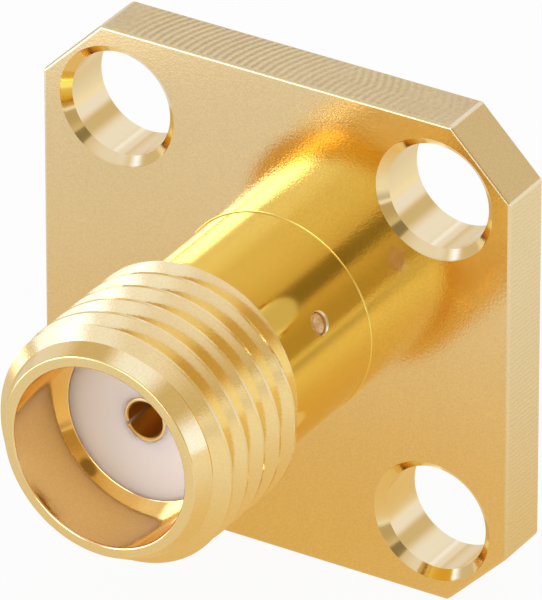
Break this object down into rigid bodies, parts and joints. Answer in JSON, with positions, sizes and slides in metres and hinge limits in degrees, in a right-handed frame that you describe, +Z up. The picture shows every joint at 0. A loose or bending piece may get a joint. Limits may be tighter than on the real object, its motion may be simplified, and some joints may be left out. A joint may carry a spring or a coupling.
{
  "type": "coaxial panel jack",
  "caption": "Gold-plated coaxial panel jack: threaded coupling and slotted socket on a smooth barrel, with a square flange that has cut corners and countersunk holes.",
  "frame": {"origin": "centre of the flange's rear mounting face, on the jack's axis", "axes": "-Y out of the mouth along the jack's axis, +Z up parallel to a flange edge, X across the flange"},
  "size_m": [0.0126, 0.0123, 0.0126],
  "materials": {
    "plated_body": "gold plate over turned and milled brass, polished to satin",
    "ptfe": "turned, smooth and slightly waxy",
    "plated_contact": "gold plate over turned spring alloy, polished",
    "epoxy": "cured resin with a small meniscus"
  },
  "bodies": {
    "root": {"body": "plated_body", "insulator": "ptfe", "contact": "plated_contact", "epoxy_plug": "epoxy"}
  },
  "joints": []
}
